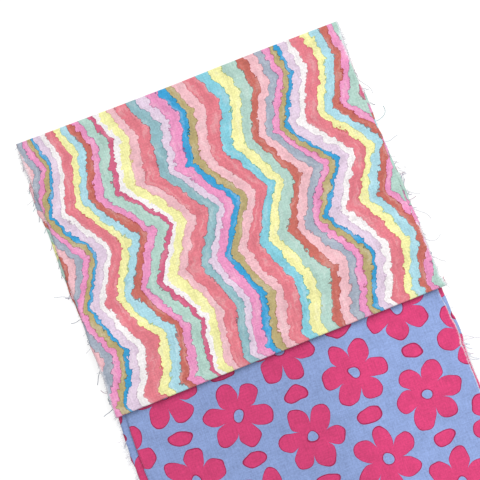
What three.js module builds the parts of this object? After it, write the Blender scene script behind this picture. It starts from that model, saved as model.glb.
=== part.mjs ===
// A bundle of two quarter-yard cuts of cotton cloth. Each cut is doubled selvage to selvage and then
// folded in thirds, so its section is one back-and-forth path of six layers, run from raw edge to raw
// edge. The lower cut is tucked under the near fold of the upper cut, which lies on the table, climbs
// over the lower cut's fold and comes down on it again. X runs from raw edge to raw edge, Y from the
// near fold of a cut to its far fold, and Z up.

import * as THREE from 'three';

// Driving dimensions, in millimetres and degrees.
const CUT_WIDTH = 228.6; // nine inches, raw edge to raw edge
const FOLD_DEPTH = 191.5; // from the outer face of the near fold to that of the far fold
const SHEET = 1.0; // one layer of cloth, with its loft
const LAYER_GAP = 0.3; // between the layers of a cut
const PIECE_GAP = 0.3; // between the two cuts where one lies on the other
const EDGE_CLEARANCE = 2.0; // between the upper cut and the far edge of the lower cut
const OVERLAP = 36.5; // how much of the lower cut lies under the upper cut
const LOWER_TURN = -0.8; // how far the lower cut is turned about the vertical
const STEP_SLOPE = 28; // the steepest slope of the upper cut, where it comes down to the table
const SELVAGE_SETBACK = 4; // how far the two selvages stop short of the near fold
const SELVAGE_STAGGER = 2; // and how far the inner one stops short of the outer one

// Fineness of the arcs.
const TURN_STEPS = 8; // in the half circle of a fold
const BEND_STEPS = 7; // in each bend of the climb

const LAYERS = 6;
const PITCH = SHEET + LAYER_GAP;
const STACK_HEIGHT = LAYERS * SHEET + (LAYERS - 1) * LAYER_GAP;
const INNER_TURN = PITCH / 2; // centre line radius of a fold between two neighbouring layers
const OUTER_TURN = 3 * PITCH / 2; // and of one that wraps round such a fold
const DEGREE = Math.PI / 180;

// The folded path of a cut, from its outer selvage to its inner one. Layers count from the table up,
// and each run but the last ends in the fold that leads to the next. A fold nested in another shares
// its centre.
const RUNS = [
  { layer: 1, heading: 'far', turn: OUTER_TURN, nested: false },
  { layer: 4, heading: 'near', turn: INNER_TURN, nested: true },
  { layer: 5, heading: 'far', turn: INNER_TURN, nested: false },
  { layer: 6, heading: 'near', turn: OUTER_TURN, nested: false },
  { layer: 3, heading: 'far', turn: INNER_TURN, nested: true },
  { layer: 2, heading: 'near', turn: 0, nested: false },
];

// A bed is the line under a cut's lowest layer: stations from near to far, each with its place in the
// section and its slope. Layers are laid at their heights square to it.
function station(y, z, slope) {
  return { y, z, slope };
}

function flatBed() {
  return [station(0, 0, 0), station(FOLD_DEPTH, 0, 0)];
}

// An arc of the bed, from one slope to another, starting at a given station. The start is left out.
function bend(start, endSlope, radius) {
  const stations = [];
  const side = Math.sign(endSlope - start.slope);
  for (let i = 1; i <= BEND_STEPS; i += 1) {
    const slope = THREE.MathUtils.lerp(start.slope, endSlope, i / BEND_STEPS);
    stations.push(station(
      start.y + side * radius * (Math.sin(slope) - Math.sin(start.slope)),
      start.z - side * radius * (Math.cos(slope) - Math.cos(start.slope)),
      slope,
    ));
  }
  return stations;
}

// The upper cut's bed: a gentle rise over the lower cut, then down to the table in two equal bends.
function steppedBed() {
  const restHeight = STACK_HEIGHT + PIECE_GAP;
  const crestHeight = STACK_HEIGHT + EDGE_CLEARANCE;
  const rise = Math.atan2(crestHeight - restHeight, OVERLAP);
  const fall = STEP_SLOPE * DEGREE;
  const radius = crestHeight / (Math.cos(rise) + 1 - 2 * Math.cos(fall));
  const near = station(0, restHeight, rise);
  const crest = station(OVERLAP, crestHeight, rise);
  const overEdge = bend(crest, -fall, radius);
  const downToTable = bend(overEdge[overEdge.length - 1], 0, radius);
  return [near, crest, ...overEdge, ...downToTable, station(FOLD_DEPTH, 0, 0)];
}

// A point of a layer's centre line: its place, and the direction square to the cloth.
function clothPoint(y, z, normalAngle) {
  return { y, z, ny: Math.cos(normalAngle), nz: Math.sin(normalAngle) };
}

// A station with its end moved along the bed by a signed distance.
function slide(end, distance) {
  return station(
    end.y + distance * Math.cos(end.slope),
    end.z + distance * Math.sin(end.slope),
    end.slope,
  );
}

// How far short of the bed's end a run's fold has its centre, so that the outer faces line up.
function setback(run) {
  return (run.nested ? OUTER_TURN : run.turn) + SHEET / 2;
}

// The stations of one run, from near to far, trimmed at both ends.
function trimmed(bed, nearTrim, farTrim) {
  return [
    slide(bed[0], nearTrim),
    ...bed.slice(1, -1),
    slide(bed[bed.length - 1], -farTrim),
  ];
}

// The centre line of a whole cut on its bed.
function clothPath(bed) {
  const points = [];
  let cameFrom = SELVAGE_SETBACK;
  RUNS.forEach((run, index) => {
    const isLast = index === RUNS.length - 1;
    const goesTo = isLast ? SELVAGE_SETBACK + SELVAGE_STAGGER : setback(run);
    const toFar = run.heading === 'far';
    const stations = toFar
      ? trimmed(bed, cameFrom, goesTo)
      : trimmed(bed, goesTo, cameFrom).reverse();
    const height = (run.layer - 0.5) * PITCH - LAYER_GAP / 2;
    const leftOfPath = toFar ? Math.PI / 2 : -Math.PI / 2;
    for (const at of stations) {
      points.push(clothPoint(
        at.y - height * Math.sin(at.slope),
        at.z + height * Math.cos(at.slope),
        at.slope + leftOfPath,
      ));
    }
    if (!isLast) {
      const next = RUNS[index + 1];
      points.push(...foldTurn(points[points.length - 1], run.turn, next.layer > run.layer, toFar));
    }
    cameFrom = setback(run);
  });
  return points;
}

// The points inside the half circle that leads from one layer to the next.
function foldTurn(from, radius, goesUp, atFarEnd) {
  const turnsLeft = goesUp === atFarEnd;
  const side = turnsLeft ? 1 : -1;
  const centreY = from.y + side * radius * from.ny;
  const centreZ = from.z + side * radius * from.nz;
  const startAngle = Math.atan2(from.nz, from.ny);
  const turn = [];
  for (let i = 1; i < TURN_STEPS; i += 1) {
    const angle = startAngle + side * Math.PI * i / TURN_STEPS;
    turn.push(clothPoint(
      centreY - side * radius * Math.cos(angle),
      centreZ - side * radius * Math.sin(angle),
      angle,
    ));
  }
  return turn;
}

// The closed outline of a cut: out along one face of the cloth and back along the other.
function clothSection(bed) {
  const path = clothPath(bed);
  const face = (side) => path.map((p) => new THREE.Vector2(
    p.y + side * p.ny * SHEET / 2,
    p.z + side * p.nz * SHEET / 2,
  ));
  return new THREE.Shape([...face(-1), ...face(1).reverse()]);
}

// A cut as one solid: its section stood up and run from raw edge to raw edge.
function foldedCut(name, bed, colour) {
  const geometry = new THREE.ExtrudeGeometry(clothSection(bed), {
    depth: CUT_WIDTH,
    bevelEnabled: false,
  });
  const material = new THREE.MeshStandardMaterial({ color: colour, roughness: 0.9, metalness: 0 });
  const mesh = new THREE.Mesh(geometry, material);
  mesh.name = name;
  mesh.quaternion.setFromAxisAngle(new THREE.Vector3(1, 1, 1).normalize(), 2 * Math.PI / 3);
  mesh.position.x = -CUT_WIDTH / 2;
  return mesh;
}

// The two cuts as they lie, with the near edge of the upper cut at Y = 0.
function layOut() {
  const upper = foldedCut('upper_cut', steppedBed(), '#e6a3a6');

  const lower = foldedCut('lower_cut', flatBed(), '#a58fc0');
  lower.position.y = OVERLAP - FOLD_DEPTH;
  const turned = new THREE.Group();
  turned.rotation.z = LOWER_TURN * DEGREE;
  turned.add(lower);

  const cuts = new THREE.Group();
  cuts.add(upper, turned);
  return cuts;
}

// The bundle, with its origin under the middle of its box.
function fabricBundle() {
  const cuts = layOut();
  const box = new THREE.Box3().setFromObject(cuts, true);
  const middle = box.getCenter(new THREE.Vector3());
  cuts.position.set(-middle.x, -middle.y, -box.min.z);
  const bundle = new THREE.Group();
  bundle.add(cuts);
  return bundle;
}

export default fabricBundle();
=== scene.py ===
"""Looks of a bundle of two folded quarter-yard cuts of printed cotton.

Each cut is one sheet of cloth, doubled selvage to selvage and then folded in thirds, so that six
layers lie on each other between two crisp folds, with raw, fraying edges at both sides. One cut is
tucked under the near fold of the other. Lengths are in metres, and the X axis runs from raw edge to
raw edge, Y from the near fold of a cut to its far fold, and Z up.
"""

import logging
import math
from dataclasses import dataclass, field
from enum import Enum

import bpy
import numpy as np
from bpy.types import Camera, GeometryNodeTree, Light, Material, Mesh, Node, NodeSocket, NodeTree, Object
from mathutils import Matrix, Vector


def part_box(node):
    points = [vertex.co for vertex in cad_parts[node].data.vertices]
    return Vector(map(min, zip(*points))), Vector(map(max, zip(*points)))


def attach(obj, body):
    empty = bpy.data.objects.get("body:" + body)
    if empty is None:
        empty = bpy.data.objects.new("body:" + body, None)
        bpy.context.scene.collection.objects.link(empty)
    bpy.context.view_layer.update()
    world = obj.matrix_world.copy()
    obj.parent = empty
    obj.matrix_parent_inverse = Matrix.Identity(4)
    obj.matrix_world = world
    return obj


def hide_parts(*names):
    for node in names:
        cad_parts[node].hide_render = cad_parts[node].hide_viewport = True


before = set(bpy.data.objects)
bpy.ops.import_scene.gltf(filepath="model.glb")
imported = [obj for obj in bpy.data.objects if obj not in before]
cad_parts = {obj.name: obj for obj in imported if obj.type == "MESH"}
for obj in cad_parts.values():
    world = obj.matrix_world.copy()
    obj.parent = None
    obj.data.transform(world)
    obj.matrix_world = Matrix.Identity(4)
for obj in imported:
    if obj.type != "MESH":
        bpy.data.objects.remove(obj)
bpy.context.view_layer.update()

log = logging.getLogger("fabric_bundle")

MM = 0.001
CLOTH_WIDTH = 1.143  # selvage to selvage, forty-five inches
COTTON = 0.3 * MM  # one layer of quilting cotton
RESTING_GAP = 0.25 * MM  # between the two cuts, and between the lowest layer and the table
PRINT_DENSITY = 0.69  # inks are mixed a little deeper than they look under the bright lamps
WHITE = (1.0, 1.0, 1.0, 1.0)
SQUARE = ((-1, -1), (1, -1), (1, 1), (-1, 1))

# Colours ------------------------------------------------------------------------------------

Colour = tuple[float, float, float, float]


def ink(red: int, green: int, blue: int) -> Colour:
    """A linear colour, as deep as it is printed, from the values of a paint chart.

    Args:
        red: From 0 to 255, with the usual display curve.
        green: The same.
        blue: The same.

    Returns:
        The colour.
    """
    shares = [value / 255 for value in (red, green, blue)]
    linear = [x / 12.92 if x <= 0.04045 else ((x + 0.055) / 1.055) ** 2.4 for x in shares]
    return (*(value * PRINT_DENSITY for value in linear), 1.0)


INKS: dict[str, Colour] = {
    "coral": ink(226, 123, 136),
    "blush": ink(237, 186, 194),
    "rose": ink(235, 148, 194),
    "raspberry": ink(212, 98, 134),
    "lemon": ink(243, 240, 168),
    "turquoise": ink(132, 203, 219),
    "aqua": ink(170, 216, 228),
    "mint": ink(176, 209, 198),
    "slate": ink(143, 184, 193),
    "pewter": ink(162, 172, 188),
    "lilac": ink(224, 203, 224),
    "cream": ink(244, 239, 240),
    "olive": ink(184, 167, 116),
    "rust": ink(199, 107, 96),
    "azure": ink(54, 160, 213),
}
COTTON_WHITE = ink(246, 243, 240)
# Pale broken yarn at worn raw edges, and painted highlight where an edge faces the lamp.
PALE_YARN_AND_HIGHLIGHT = ink(243, 243, 250)
PERIWINKLE = ink(145, 168, 220)
MAGENTA = ink(222, 64, 122)
CRIMSON = ink(166, 28, 84)

# Node trees ---------------------------------------------------------------------------------


@dataclass(frozen=True)
class Term:
    """A node's output. The signs of sums turn it into Math nodes."""

    graph: "Graph"
    socket: NodeSocket

    def __add__(self, other: "Term | float") -> "Term":
        """The sum."""
        return self.graph.math("ADD", self, other)

    def __sub__(self, other: "Term | float") -> "Term":
        """The difference."""
        return self.graph.math("SUBTRACT", self, other)

    def __rsub__(self, other: float) -> "Term":
        """The difference from a number."""
        return self.graph.math("SUBTRACT", other, self)

    def __mul__(self, other: "Term | float") -> "Term":
        """The product."""
        return self.graph.math("MULTIPLY", self, other)

    def __truediv__(self, other: "Term | float") -> "Term":
        """The quotient."""
        return self.graph.math("DIVIDE", self, other)

    def __pow__(self, other: "Term | float") -> "Term":
        """The power."""
        return self.graph.math("POWER", self, other)

    def __abs__(self) -> "Term":
        """The size, without its sign."""
        return self.graph.math("ABSOLUTE", self)

    def sibling(self, name: str | int) -> "Term":
        """Another output of the same node."""
        return Term(self.graph, self.socket.node.outputs[name])


@dataclass
class Graph:
    """A node tree being built, with short calls for the nodes that are used most."""

    tree: NodeTree
    given: dict[str, Term] = field(default_factory=dict)  # the inputs of a group

    @property
    def shader(self) -> Node:
        """The shader of a material."""
        return self.tree.nodes["Principled BSDF"]

    def node(self, kind: str, **settings: object) -> Node:
        """Adds a node.

        Args:
            kind: Its type.
            **settings: Its properties.

        Returns:
            The node.
        """
        made = self.tree.nodes.new(kind)
        for name, value in settings.items():
            setattr(made, name, value)
        return made

    def feed(self, socket: NodeSocket, value: object) -> None:
        """Links an input to a term, or sets its value.

        Args:
            socket: The input.
            value: The term or the value.
        """
        if isinstance(value, Term):
            self.tree.links.new(value.socket, socket)
        else:
            socket.default_value = value

    def run(
        self, kind: str, inputs: dict[str | int, object], out: str | int, **settings: object
    ) -> Term:
        """Adds a node, feeds it and takes one of its outputs.

        Args:
            kind: The node's type.
            inputs: Names or places of inputs, each with a term or a value.
            out: Name or place of the output.
            **settings: The node's properties.

        Returns:
            The output.
        """
        made = self.node(kind, **settings)
        for name, value in inputs.items():
            self.feed(made.inputs[name], value)
        return Term(self, made.outputs[out])

    def math(self, operation: str, *values: object, clamp: bool = False) -> Term:
        """A Math node on one to three values."""
        inputs = dict(enumerate(values))
        return self.run("ShaderNodeMath", inputs, 0, operation=operation, use_clamp=clamp)

    def vector(self, operation: str, *values: object) -> Term:
        """A Vector Math node on one or two vectors."""
        return self.run("ShaderNodeVectorMath", dict(enumerate(values)), 0, operation=operation)

    def scaled(self, vector: Term, factor: Term | float) -> Term:
        """A vector or a colour, times a number."""
        return self.run("ShaderNodeVectorMath", {0: vector, "Scale": factor}, 0, operation="SCALE")

    def split(self, vector: Term) -> list[Term]:
        """The three parts of a vector."""
        first = self.run("ShaderNodeSeparateXYZ", {0: vector}, 0)
        return [first.sibling(place) for place in range(3)]

    def joined(self, *parts: object) -> Term:
        """A vector of two or three parts."""
        return self.run("ShaderNodeCombineXYZ", dict(enumerate(parts)), 0)

    def blend(self, share: object, below: object, above: object, how: str = "MIX") -> Term:
        """A Mix Color node."""
        inputs = {0: share, 6: below, 7: above}
        return self.run("ShaderNodeMix", inputs, 2, data_type="RGBA", blend_type=how, clamp_factor=True)

    def ramp(self, value: object, low: float, high: float, start: float, end: float) -> Term:
        """A smooth step from start, at low, to end, at high."""
        inputs = {"Value": value, "From Min": low, "From Max": high, "To Min": start, "To Max": end}
        return self.run("ShaderNodeMapRange", inputs, "Result", interpolation_type="SMOOTHSTEP")

    def noise(
        self,
        place: Term,
        scale: float,
        detail: float = 2.0,
        roughness: float = 0.5,
        out: str = "Fac",
        dimensions: str = "2D",
    ) -> Term:
        """Soft, uneven patches.

        Args:
            place: Where they are looked up.
            scale: How many there are in a metre.
            detail: How many finer sets are added.
            roughness: How strong these are.
            out: Fac or Color.
            dimensions: 2D or 3D.

        Returns:
            The value or the colour.
        """
        inputs = {"Vector": place, "Scale": scale, "Detail": detail, "Roughness": roughness}
        return self.run("ShaderNodeTexNoise", inputs, out, noise_dimensions=dimensions)

    def steps(self, share: Term, stops: list[tuple[float, Colour]]) -> Term:
        """A ramp of flat colours.

        Args:
            share: Place on the ramp, from 0 to 1.
            stops: Where each colour starts, and the colour.

        Returns:
            The colour, whose sibling is its alpha.
        """
        made = self.run("ShaderNodeValToRGB", {0: share}, "Color")
        scale = made.socket.node.color_ramp
        scale.interpolation = "CONSTANT"
        for index, (start, colour) in enumerate(stops):
            stop = scale.elements[index] if index < 2 else scale.elements.new(start)
            stop.position = start
            stop.color = colour
        return made

    def named(self, kind: str, name: str) -> Term:
        """An attribute of the geometry."""
        return self.run("GeometryNodeInputNamedAttribute", {"Name": name}, "Attribute", data_type=kind)

    def give(self, **outputs: Term) -> NodeTree:
        """Finishes a group.

        Args:
            **outputs: What its outputs are fed.

        Returns:
            The group.
        """
        leave = self.node("NodeGroupOutput")
        for label, value in outputs.items():
            self.feed(leave.inputs[label], value)
        return self.tree


class Socket(Enum):
    """Kinds of socket on a node group's interface."""

    FLOAT = "NodeSocketFloat"
    VECTOR = "NodeSocketVector"
    COLOUR = "NodeSocketColor"
    INTEGER = "NodeSocketInt"
    GEOMETRY = "NodeSocketGeometry"
    MATERIAL = "NodeSocketMaterial"


class Kind(Enum):
    """Kinds of node group."""

    SHADER = "ShaderNodeTree"
    GEOMETRY = "GeometryNodeTree"


def group(
    name: str, kind: Kind, inputs: dict[str, tuple[Socket, object]], outputs: dict[str, Socket]
) -> Graph:
    """Starts a node group.

    Args:
        name: The group's name.
        kind: The group's kind.
        inputs: Input names, each with its kind and its default or None.
        outputs: Output names, each with its kind.

    Returns:
        The group's graph.
    """
    tree = bpy.data.node_groups.new(name, kind.value)
    for label, (socket, default) in inputs.items():
        made = tree.interface.new_socket(label, in_out="INPUT", socket_type=socket.value)
        if default is not None:
            made.default_value = default
    for label, socket in outputs.items():
        tree.interface.new_socket(label, in_out="OUTPUT", socket_type=socket.value)
    graph = Graph(tree)
    enter = graph.node("NodeGroupInput")
    graph.given.update((label, Term(graph, enter.outputs[label])) for label in inputs)
    return graph


def sizes(owner: object, *names: str) -> dict[str, tuple[Socket, object]]:
    """Number inputs for a group, each with the owner's field of that name as its default."""
    return {name: (Socket.FLOAT, getattr(owner, name.lower())) for name in names}


def shaded(name: str, settings: dict[str, object]) -> tuple[Material, Graph]:
    """Starts a material.

    Args:
        name: Its name.
        settings: Values of inputs of its shader.

    Returns:
        The material and its graph.
    """
    material = bpy.data.materials.new(name)
    material.use_nodes = True
    graph = Graph(material.node_tree)
    for label, value in settings.items():
        graph.shader.inputs[label].default_value = value
    return material, graph


# Prints and weave ---------------------------------------------------------------------------

PLACE = {"Cloth": (Socket.VECTOR, None)}  # across the cloth from the cut's middle, and along it
UNEVEN = 0.6  # roughness of the finer patches in brushed ink and spun yarn


class Design(Enum):
    """The printed design of a cloth."""

    FLAME = "Flame print"
    DAISY = "Daisy print"


class Side(Enum):
    """Which part of the cloth a face belongs to, with its place in the piece's material slots."""

    PRINTED = 0
    WRONG = 1
    CUT = 2


@dataclass(frozen=True)
class FlamePrint:
    """Bands of many colours in the rising and falling peaks of a flame pattern."""

    # The bands of one repeat across the cloth: ink, and width in millimetres.
    bands: tuple[tuple[str, float], ...] = (
        ("lemon", 6.0), ("blush", 5.5), ("coral", 8.5), ("slate", 5.5), ("lilac", 5.5),
        ("rose", 6.0), ("azure", 4.5), ("olive", 5.0), ("blush", 7.5), ("coral", 8.5),
        ("turquoise", 6.5), ("lemon", 7.0), ("mint", 8.0), ("rust", 5.0), ("blush", 6.0),
        ("pewter", 5.0), ("rose", 5.0), ("olive", 3.5), ("azure", 2.5), ("lilac", 6.0),
        ("cream", 4.0), ("coral", 8.0), ("lemon", 5.0), ("aqua", 6.0), ("rust", 4.5),
        ("rose", 5.0), ("mint", 6.5), ("raspberry", 3.5), ("cream", 3.5),
    )
    period: float = 66 * MM  # along the cloth, from peak to peak
    rise: float = 7.5 * MM  # of each tall peak, either way
    lift: float = 0.25  # of every other peak above the last, as a share of the rise
    phase: float = 30 * MM  # how far the repeat starts from the middle of the cloth
    sweep: float = 44 * MM  # how far the bands swing over hand's breadths of cloth
    wander: float = 6 * MM  # how far they stray over a thumb's breadth
    ragged: float = 7 * MM  # how uneven their edges are
    waves: tuple[tuple[str, float, float], ...] = (
        ("Sweep", 4.5, 1.0), ("Wander", 26.0, 1.0), ("Ragged", 160.0, 3.0),
    )  # how many of each in a metre, and how detailed
    overprint: float = 0.42 * MM  # where neighbouring inks overlap
    overprint_depth: float = 0.76
    strokes: tuple[float, float] = (330.0, 70.0)  # in a metre, across the bands and along them
    stroke_detail: float = 3.0
    wash: float = 0.17  # how pale the ink is where the brush ran dry
    dry: tuple[float, float] = (0.48, 0.72)  # unevenness of a stroke at which it starts to, and has
    pooling: float = 0.1  # how much deeper it is where it pooled
    pooled: tuple[float, float] = (0.3, 0.5)  # unevenness at which it has in full, and not at all

    def group(self) -> NodeTree:
        """Builds the node group that turns a place on the cloth into its printed colour.

        Returns:
            The group, with the input Cloth and the output Color.
        """
        named = sizes(self, "Period", "Rise", "Phase", "Sweep", "Wander", "Ragged", "Wash", "Pooling")
        graph = group(Design.FLAME.value, Kind.SHADER, {**PLACE, **named}, {"Color": Socket.COLOUR})
        given = graph.given
        across, along, _ = graph.split(given["Cloth"])
        half = given["Period"] * 0.5
        tall = graph.math("PINGPONG", along, half) / half
        slow = graph.math("PINGPONG", along, given["Period"]) / half
        level = (tall + slow * self.lift) * (given["Rise"] * 2.0) + (across + given["Phase"])
        for reach, scale, detail in self.waves:
            push = graph.noise(given["Cloth"], scale, detail, UNEVEN) - 0.5
            level = level + given[reach] * push
        colour = self._band(graph, level)
        beyond = self._band(graph, level + self.overprint)
        boundary = abs(colour.sibling("Alpha") - beyond.sibling("Alpha")) * self.overprint_depth
        overlap = graph.blend(1.0, colour, beyond, "MULTIPLY")
        return graph.give(
            Color=graph.blend(boundary, self._brushed(graph, colour, level, along), overlap)
        )

    def _band(self, graph: Graph, level: Term) -> Term:
        """The ink of the band at a level.

        Args:
            graph: The group being built.
            level: Place across the bands.

        Returns:
            The colour, whose sibling Alpha is 1 on every other band.
        """
        repeat = sum(width for _, width in self.bands)
        stops = []
        start = 0.0
        for index, (name, width) in enumerate(self.bands):
            stops.append((start / repeat, (*INKS[name][:3], index % 2)))
            start += width
        return graph.steps(graph.math("FRACT", level / (repeat * MM)), stops)

    def _brushed(self, graph: Graph, colour: Term, level: Term, along: Term) -> Term:
        """Streaks of thinner and of pooled ink that run with the bands.

        Args:
            graph: The group being built.
            colour: The flat colour of the bands.
            level: Place across the bands.
            along: Place along the cloth.

        Returns:
            The streaked colour.
        """
        place = graph.joined(level * self.strokes[0], along * self.strokes[1])
        streak = graph.noise(place, 1.0, self.stroke_detail, UNEVEN)
        dry = graph.ramp(streak, *self.dry, 0.0, 1.0) * graph.given["Wash"]
        pooled = graph.ramp(streak, *self.pooled, 1.0, 0.0) * graph.given["Pooling"]
        return graph.scaled(graph.blend(dry, colour, COTTON_WHITE), 1.0 - pooled)


@dataclass(frozen=True)
class DaisyPrint:
    """Large flat flowers in a half-drop, with a pebble between them."""

    column: float = 41 * MM
    drop: float = 61 * MM  # from flower to flower down a column
    radius: float = 23 * MM
    notch: float = 0.42  # how deep the petals part, as a share of the radius
    petals: int = 6
    point: float = 0.55  # how pointed the petals are: lower is blunter
    heart: float = 3.6 * MM
    pebble: float = 5.4 * MM
    pebble_stretch: float = 1.5
    blur: float = 0.04 * MM  # how far the ink fades at an outline, either way
    outline: float = 0.95 * MM  # rim of the flowers, where the inks overlap
    outline_core: float = 0.45  # how much of it is at its deepest
    lean: float = 1.0  # most that a flower is turned, in radians
    wobble: float = 5.5 * MM  # how far from true the outlines are
    wobbles: float = 65.0  # in a metre

    def group(self) -> NodeTree:
        """Builds the node group that turns a place on the cloth into its printed colour.

        Returns:
            The group, with the input Cloth and the output Color.
        """
        named = sizes(self, "Column", "Drop", "Radius", "Notch", "Heart", "Pebble", "Wobble")
        graph = group(Design.DAISY.value, Kind.SHADER, {**PLACE, **named}, {"Color": Socket.COLOUR})
        cloth = graph.given["Cloth"]
        shakes = graph.split(graph.noise(cloth, self.wobbles, 1.0, out="Color"))
        across, along = (
            place + (shake - 0.5) * graph.given["Wobble"]
            for place, shake in zip(graph.split(cloth)[:2], shakes)
        )
        shapes = []
        for lattice in (0, 1):
            shapes.append(self._flower(graph, *self._cell(graph, across, along, lattice, 0.0)))
            shapes.append(self._pebble(graph, *self._cell(graph, across, along, lattice, 0.5)))
        inside = shapes[0]
        for shape in shapes[1:]:
            inside = graph.math("MAXIMUM", inside, shape)
        printed = graph.ramp(inside, -self.blur, self.blur, 0.0, 1.0)
        rim = graph.ramp(inside, self.outline * self.outline_core, self.outline, 1.0, 0.0)
        return graph.give(
            Color=graph.blend(printed, PERIWINKLE, graph.blend(rim, MAGENTA, CRIMSON))
        )

    def _cell(
        self, graph: Graph, across: Term, along: Term, lattice: int, offset: float
    ) -> tuple[Term, Term, Term]:
        """Where a point lies in its cell of one of the half-drop's two upright lattices.

        Args:
            graph: The group being built.
            across: Place across the cloth.
            along: Place along the cloth.
            lattice: 0 for the even columns and 1 for the odd ones.
            offset: How far the cells are moved down, as a share of the drop.

        Returns:
            Places across and along from the cell's middle, and a number that differs by cell.
        """
        column, drop = graph.given["Column"], graph.given["Drop"]
        pitch = column * 2.0
        aside = across + column * float(lattice)
        lowered = along + drop * (0.5 * lattice + offset)
        index = graph.math("FLOOR", aside / pitch)
        row = graph.math("FLOOR", lowered / drop)
        which = graph.joined(index * 2.0 + float(lattice), row)
        chance = graph.run("ShaderNodeTexWhiteNoise", {"Vector": which}, "Value", noise_dimensions="2D")
        return aside - (index + 0.5) * pitch, lowered - (row + 0.5) * drop, chance

    def _flower(self, graph: Graph, x: Term, y: Term, chance: Term) -> Term:
        """How far inside a flower's outline a point lies.

        Args:
            graph: The group being built.
            x: The point's place across from the flower's middle.
            y: The same, along.
            chance: How far the flower is turned, from 0 to 1.

        Returns:
            The distance, negative outside.
        """
        given = graph.given
        far = graph.math("SQRT", x**2.0 + y**2.0)
        angle = graph.math("ARCTAN2", y, x) + chance * self.lean
        lobe = abs(graph.math("COSINE", angle * (self.petals / 2))) ** self.point
        reach = given["Notch"] + lobe * (1.0 - given["Notch"])
        return graph.math("MINIMUM", reach * given["Radius"] - far, far - given["Heart"])

    def _pebble(self, graph: Graph, x: Term, y: Term, _: Term) -> Term:
        """How far inside a pebble's outline a point lies, as for a flower."""
        far = graph.math("SQRT", (x / self.pebble_stretch) ** 2.0 + y**2.0)
        return graph.given["Pebble"] - far


@dataclass(frozen=True)
class PlainWeave:
    """Threads over and under each other, of uneven thickness."""

    pitch: float = 0.4 * MM
    slubs: tuple[float, float] = (1500.0, 110.0)  # in a metre, across a thread and along it
    slub_relief: float = 0.8
    blotches: tuple[tuple[float, float], ...] = ((780.0, 0.9), (95.0, 0.6))  # in a metre; how strong

    def group(self) -> NodeTree:
        """Builds the node group.

        Returns:
            The group, with the inputs Cloth and Pitch and the outputs Height and Tone.
        """
        outputs = {"Height": Socket.FLOAT, "Tone": Socket.FLOAT}
        graph = group("Plain weave", Kind.SHADER, {**PLACE, **sizes(self, "Pitch")}, outputs)
        cloth, pitch = graph.given["Cloth"], graph.given["Pitch"]
        turns = (part / pitch * math.pi for part in graph.split(cloth)[:2])
        weft, warp = (graph.math("SINE", turn) for turn in turns)
        thick, thin = (
            graph.noise(graph.vector("MULTIPLY", cloth, (*stretch, 1.0)), 1.0, 2.0, UNEVEN)
            for stretch in (self.slubs, self.slubs[::-1])
        )
        slub = thick + thin
        tone = slub - 1.0
        for scale, share in self.blotches:
            tone = tone + (graph.noise(cloth, scale, 1.0) - 0.5) * share
        return graph.give(Height=abs(weft * warp) + slub * self.slub_relief, Tone=tone)


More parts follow.
